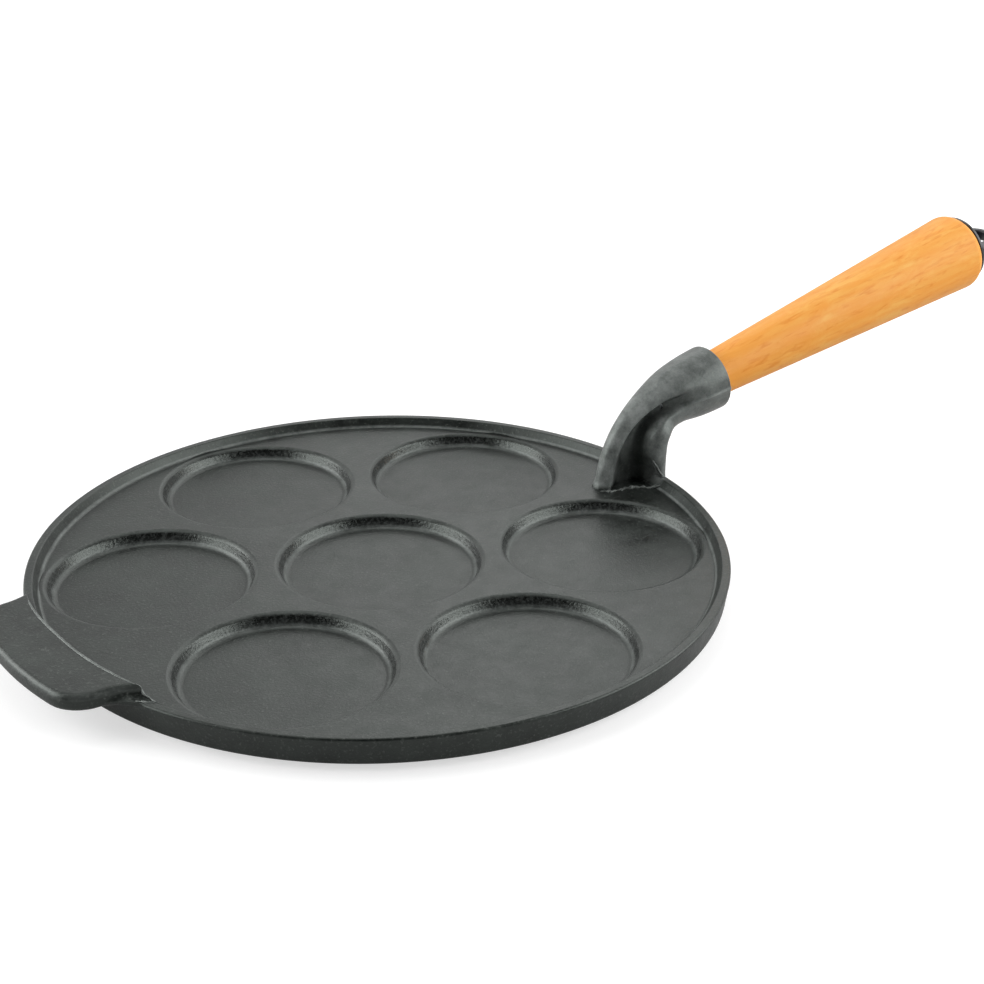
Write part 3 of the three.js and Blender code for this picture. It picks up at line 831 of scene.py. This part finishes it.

# Thin ridges of metal that squeezed between the mould's parts, left on the casting. The pale beads along
# the flange's foot and the tab's crest paint highlights on lit edges. An arc is its radius round the
# plate's middle, its height, and the degrees it runs between on the tab's side.
flash = {
    "neckFoot": {
        "line": [
            (91.9, -2.8, 8.2), (92.8, -4.5, 8.2), (94.8, -5.8, 8.2), (98.0, -6.6, 8.2),
            (101.5, -7.0, 8.2), (105.0, -8.8, 8.2), (108.2, -12.4, 8.4), (110.6, -14.6, 9.8),
        ],
        "radius": 1.05, "waver": 0.8, "skinAndPaintedLight": 0.45,
    },
    # paints a highlight: a pale bead along the lit fillet at the flange's foot
    "flangeFootHighlight": {
        "line": [
            (108.8, -11.1, 18.4), (110.4, -11.5, 15.4), (111.9, -11.8, 13.0),
            (113.0, -12.4, 11.2), (112.8, -13.6, 10.6),
        ],
        "radius": 1.7, "waver": 0.2, "skinAndPaintedLight": 0.5,
    },
    # paints a highlight: a pale bead along the tab's lit crest
    "tabCrestHighlight": {"arc": (112.35, 15.30, -18.2, 16.8), "radius": 0.85, "waver": 0.12, "skinAndPaintedLight": 0.6},
    "tabRoot": {
        "line": [
            (-106.4, -34.0, 15.3), (-105.9, -35.6, 14.4), (-105.7, -36.2, 13.3),
            (-105.4, -37.0, 12.6), (-104.9, -38.6, 12.1), (-104.0, -41.0, 11.5),
        ],
        "radius": 0.45, "waver": 1.0, "skinAndPaintedLight": 1.0,
    },
    "tabFoot": {
        "line": [(-109.5, -36.5, 11.5), (-107.1, -38.2, 11.5), (-104.2, -41.2, 11.5)],
        "radius": 0.45, "waver": 1.0, "skinAndPaintedLight": 1.5,
    },
}
beadForm = {
    "waves": ((0.6, 0.7), (1.5, 2.1), (2.9, 4.0)),  # radians per millimetre of the bead, and at its start
    "plainShare": 0.62, "waveShare": 0.5,  # of the radius
    "sway": (1.7, 1.0), "swayShare": 0.3,
    "leastSquare": 0.01,  # keeps the ends from closing to nothing
    "smoothing": 15,  # stations that the line is smoothed over
    "stations": 90, "arcStations": 60, "around": 10,
}


# An arc round the plate's middle on the tab's side, -r cos(a) and r sin(a), run out with the ridge.
def tabArc(radius, height, first, last):
    angle = np.radians(np.linspace(first, last, beadForm["arcStations"]))
    y = radius * np.sin(angle)
    return np.stack([-radius * np.cos(angle) - ridgeShift(y), y, np.full(len(angle), height)], -1)


# A bead carried along a smoothed line. Its radius and place waver by sines of the distance run, and
# its ends close by the root of 1 - (2s - 1)^4, with s the share of the length.
def flashBead(name, line, radius, waver, skinAndPaintedLight):
    corners = np.array(line, float)
    lengths = np.concatenate([[0], np.cumsum(np.linalg.norm(np.diff(corners, axis=0), axis=1))])
    share = np.linspace(0, 1, beadForm["stations"])
    run = share * lengths[-1]
    kernel = np.hanning(beadForm["smoothing"])
    kernel = kernel / kernel.sum()
    spare = beadForm["smoothing"] // 2
    path = [np.pad(np.interp(run, lengths, corners[:, axis]), spare, "edge") for axis in range(3)]
    path = np.stack([np.convolve(row, kernel, "valid") for row in path], -1)
    waves = [np.sin(rate * run + start) for rate, start in beadForm["waves"]]
    wave = waver * sum(waves) / len(waves)
    ends = np.sqrt(np.clip(1 - (2 * share - 1) ** 4, beadForm["leastSquare"], 1))
    thick = radius * (beadForm["plainShare"] + beadForm["waveShare"] * wave) * ends
    side = np.cross(np.gradient(path, axis=0), (0, 0, 1))
    side /= np.linalg.norm(side, axis=1, keepdims=True)
    swayRate, swayStart = beadForm["sway"]
    sway = beadForm["swayShare"] * radius * waver * np.sin(swayRate * run + swayStart)
    path = path + side * sway[:, None]
    angle = np.linspace(0, 2 * math.pi, beadForm["around"], endpoint=False)[:, None]
    ring = np.cos(angle) * side[:, None] + np.sin(angle) * np.array([0, 0, 1.0])
    bead = smoothed(closedMesh(name, path[:, None] + thick[:, None, None] * ring))
    values = np.full(len(bead.data.vertices), skinAndPaintedLight, np.float32)
    bead.data.attributes.new("skinAndPaintedLight", "FLOAT", "POINT").data.foreach_set("value", values)
    bead.data.materials.append(castIron)
    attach(bead, "pan")


for name, bead in flash.items():
    line = tabArc(*bead["arc"]) if "arc" in bead else bead["line"]
    flashBead(name + "Flash", line, bead["radius"], bead["waver"], bead["skinAndPaintedLight"])
print("flash made")

grip = {
    "startRadius": 8.2, "endRadius": 15.2, "length": 133.0, "endRound": 3.4,
    "spigotLength": 12.5, "spigotRound": 0.4, "boreRadius": 4.6,
    "counterboreRadius": 6.9, "counterboreDepth": 8.7, "counterboreRound": 0.3,
    "roundSteps": 10, "taperRings": 22, "sides": 128, "sharpAngle": 50,
}


# The grip is turned from one profile that closes on itself round the bore. Rings spaced evenly are
# added along its straight taper.
def gripPiece():
    length, bore, spigot = grip["length"], grip["boreRadius"], -grip["spigotLength"]
    counterbore, floor = grip["counterboreRadius"], length - grip["counterboreDepth"]
    profile = roundedProfile([
        (bore, spigot), (grip["startRadius"], spigot, grip["spigotRound"]),
        (grip["startRadius"], 0), (grip["endRadius"], length, grip["endRound"]),
        (counterbore, length, grip["counterboreRound"]), (counterbore, floor), (bore, floor),
    ], grip["roundSteps"])
    straight = np.linspace(0, 1, grip["taperRings"] + 2)[1:-1, None]
    split = int(np.argmax(profile[:, 1] >= 0))
    filled = profile[split] + (profile[split + 1] - profile[split]) * straight
    profile = np.vstack([profile[:split + 1], filled, profile[split + 1:]])
    rings = turnedRings(profile, grip["sides"], mouth, alongHandle)
    made = smoothed(closedMesh("beechGrip", rings, looped=True), grip["sharpAngle"])
    made.data.materials.append(beech)
    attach(made, "grip")
    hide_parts("handle_grip")


rod = {
    "radius": 4.0, "threadDepth": 0.62, "lead": 1.25, "start": -26.8, "end": 132.0, "chamfer": 0.8,
    "sides": 24, "perLead": 8, "sharpAngle": 60,
}


# The rod's thread: the radius is radius - depth |sawtooth(along / lead - angle / turn)|.
def rodPiece():
    steps = int((rod["end"] - rod["start"]) / rod["lead"] * rod["perLead"])
    along = np.linspace(rod["start"], rod["end"], steps)[:, None]
    angle = np.linspace(0, 2 * math.pi, rod["sides"], endpoint=False)[None]
    phase = (along / rod["lead"] - angle / (2 * math.pi)) % 1
    radius = rod["radius"] - rod["threadDepth"] * np.abs(2 * phase - 1)
    inset = np.minimum(along - rod["start"], rod["end"] - along)
    radius = np.minimum(radius, rod["radius"] - rod["chamfer"] + inset)
    rings = mouth + radius[..., None] * circleAcross(alongHandle, angle) + along[..., None] * alongHandle
    made = smoothed(closedMesh("threadedRod", rings), rod["sharpAngle"])
    made.data.materials.append(zincPlate)
    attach(made, "pan")
    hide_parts("tie_rod")


eye = {
    "seatGap": 0.3,
    "flangeRadius": 13.2, "flangeThickness": 1.5, "flangeRound": 0.6,
    "collarRadius": 6.5, "collarLength": 8.7, "edgeRound": 0.4,
    "holeRadius": 4.32, "threadDepth": 7.7, "poleRadius": 0.5,
    "loopRadius": 12.2, "loopOffset": 4.2, "loopThickness": 4.4,  # offsets are from the flange's outer face
    "eyeRadius": 5.2, "eyeOffset": 8.7,
    "squareness": 0.55,  # of the loop's section, where 1 is round
    "sides": 96, "stations": 120, "around": 36,
}


# The loop is a rounded square section carried round the eye. Its outside is the loop's circle, or the
# middle of the flange where that is nearer. Across the section a point lies at half of the gap between
# the eye and the outside, times cos and sin raised to a power below 1, which squares the circle.
def loopRings(outerFace):
    turn = np.linspace(0, 2 * math.pi, eye["stations"], endpoint=False)[:, None]
    out = np.sin(turn)
    drop = eye["loopOffset"] - eye["eyeOffset"]
    toCircle = drop * out + np.sqrt(eye["loopRadius"] ** 2 - drop**2 * (1 - out**2))
    floor = eye["eyeOffset"] + eye["flangeThickness"] / 2
    level, farOff = 1e-3, 1e3  # a direction this level never meets the flange
    toFlange = np.where(out < -level, floor / np.maximum(-out, level), farOff)
    outer = np.minimum(toCircle, toFlange)
    around = np.linspace(0, 2 * math.pi, eye["around"], endpoint=False)[None]
    wide = np.sign(np.cos(around)) * np.abs(np.cos(around)) ** eye["squareness"]
    tall = np.sign(np.sin(around)) * np.abs(np.sin(around)) ** eye["squareness"]
    reach = (outer + eye["eyeRadius"]) / 2 + (outer - eye["eyeRadius"]) / 2 * wide
    across = (reach * np.cos(turn))[..., None] * np.array([0.0, -1.0, 0.0])
    beyond = (outerFace + eye["eyeOffset"] + reach * out)[..., None] * alongHandle
    thick = (eye["loopThickness"] / 2 * tall * np.ones_like(turn))[..., None] * upHandle
    return mouth + across + beyond + thick


# The nut is a turned collar and flange with a blind threaded hole, joined to the loop.
def eyePiece():
    face = grip["length"] + eye["seatGap"]
    outerFace, collarEnd = face + eye["flangeThickness"], face - eye["collarLength"]
    holeEnd, hole, collar, flange = (
        collarEnd + eye["threadDepth"], eye["holeRadius"], eye["collarRadius"], eye["flangeRadius"],
    )
    profile = roundedProfile([
        (eye["poleRadius"], holeEnd), (hole, holeEnd), (hole, collarEnd),
        (collar, collarEnd, eye["edgeRound"]), (collar, face), (flange, face, eye["edgeRound"]),
        (flange, outerFace, eye["flangeRound"]), (eye["poleRadius"], outerFace),
    ])
    body = closedMesh("eyeBody", turnedRings(profile, eye["sides"], mouth, alongHandle))
    loop = closedMesh("eyeLoop", loopRings(outerFace), looped=True)
    made = smoothed(combined("hangingEye", body, [("UNION", loop)]))
    made.data.materials.append(blackEnamel)
    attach(made, "eye")
    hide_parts("hanging_eye_nut")


gripPiece()
rodPiece()
eyePiece()
print("handle made")

# The table, the studio light and the background.
studio = {
    "tableHalf": 4.0,  # metres
    "tableColour": 0.50,
    "tableGlow": (0.60, 1.0),  # near the pan and far off, so that the camera sees a white table
    "glossShare": 0.33,  # how much of it the pan's gloss sees
    "glowReach": (0.25, 0.9),  # metres from the pan's middle
    "ambient": (0.05, 0.85),  # from the camera's side, and from behind the pan
    "ambientTurn": (-0.35, 0.85),
    "panels": {
        # place relative to the pan in millimetres towards camera right, away from the camera, and up
        "topPanel": {"place": (-150, 100, 900), "size": (0.45, 0.30), "power": 1.0},
        "backPanel": {"place": (380, 920, 780), "size": (1.30, 0.50), "power": 3.8},
        "leftPanel": {"place": (-800, 0, 430), "size": (1.00, 0.60), "power": 9.4},
        "rightPanel": {"place": (800, -60, 430), "size": (0.90, 0.60), "power": 8.2},
    },
}


# A flat table of grey paper, with a glow that only the camera and the gloss see. The glow rises from
# near the pan to far off.
def studioTable():
    half = studio["tableHalf"]
    mesh = bpy.data.meshes.new("table")
    corners = [(-half, -half, 0), (half, -half, 0), (half, half, 0), (-half, half, 0)]
    mesh.from_pydata(corners, [], [(0, 1, 2, 3)])
    table = bpy.data.objects.new("table", mesh)
    bpy.context.scene.collection.objects.link(table)
    material, tree, shader = newMaterial("whitePaper")
    tree.nodes.remove(shader)
    paths = addNode(tree, "ShaderNodeLightPath").outputs
    gloss = times(tree, paths["Is Glossy Ray"], studio["glossShare"])
    seen = calc(tree, "MAXIMUM", paths["Is Camera Ray"], gloss)
    shade = studio["tableColour"]
    paper = addNode(tree, "ShaderNodeBsdfDiffuse", {"Color": (shade, shade, shade, 1)})
    fromMiddle = addNode(tree, "ShaderNodeVectorMath", {0: objectPlace(tree)}, operation="LENGTH")
    level = between(tree, fromMiddle.outputs["Value"], *studio["glowReach"], *studio["tableGlow"])
    glow = addNode(tree, "ShaderNodeEmission", {"Strength": times(tree, seen, level)})
    both = addNode(tree, "ShaderNodeAddShader", {0: paper.outputs[0], 1: glow.outputs[0]})
    tree.links.new(both.outputs[0], tree.nodes["Material Output"].inputs["Surface"])
    table.data.materials.append(material)


# The room: white to the camera, and for light a grey that is brightest away from the camera.
def studioRoom():
    world = bpy.data.worlds.new("room")
    world.use_nodes = True
    bpy.context.scene.world = world
    tree = world.node_tree
    direction = addNode(tree, "ShaderNodeTexCoord").outputs["Generated"]
    inputs = {0: direction, 1: tuple(cameraAhead)}
    ahead = addNode(tree, "ShaderNodeVectorMath", inputs, operation="DOT_PRODUCT").outputs["Value"]
    level = between(tree, ahead, *studio["ambientTurn"], *studio["ambient"])
    level.node.interpolation_type = "SMOOTHSTEP"
    paths = addNode(tree, "ShaderNodeLightPath").outputs
    background = tree.nodes["Background"]
    tree.links.new(calc(tree, "MAXIMUM", level, paths["Is Camera Ray"]), background.inputs["Strength"])
    background.inputs["Color"].default_value = (1, 1, 1, 1)


# Each panel is a rectangle of light that faces the pan.
def studioPanels():
    for name, panel in studio["panels"].items():
        data = bpy.data.lights.new(name, "AREA")
        data.shape, data.size, data.size_y, data.energy = "RECTANGLE", *panel["size"], panel["power"]
        light = bpy.data.objects.new(name, data)
        sideways, away, up = (value * mm for value in panel["place"])
        light.location = cameraRight * sideways + cameraAhead * away + Vector((0, 0, up))
        light.rotation_euler = (-Vector(light.location)).to_track_quat("-Z", "Y").to_euler()
        bpy.context.scene.collection.objects.link(light)


studioTable()
studioRoom()
studioPanels()
bpy.context.scene.view_settings.view_transform = "Standard"
print("studio made")
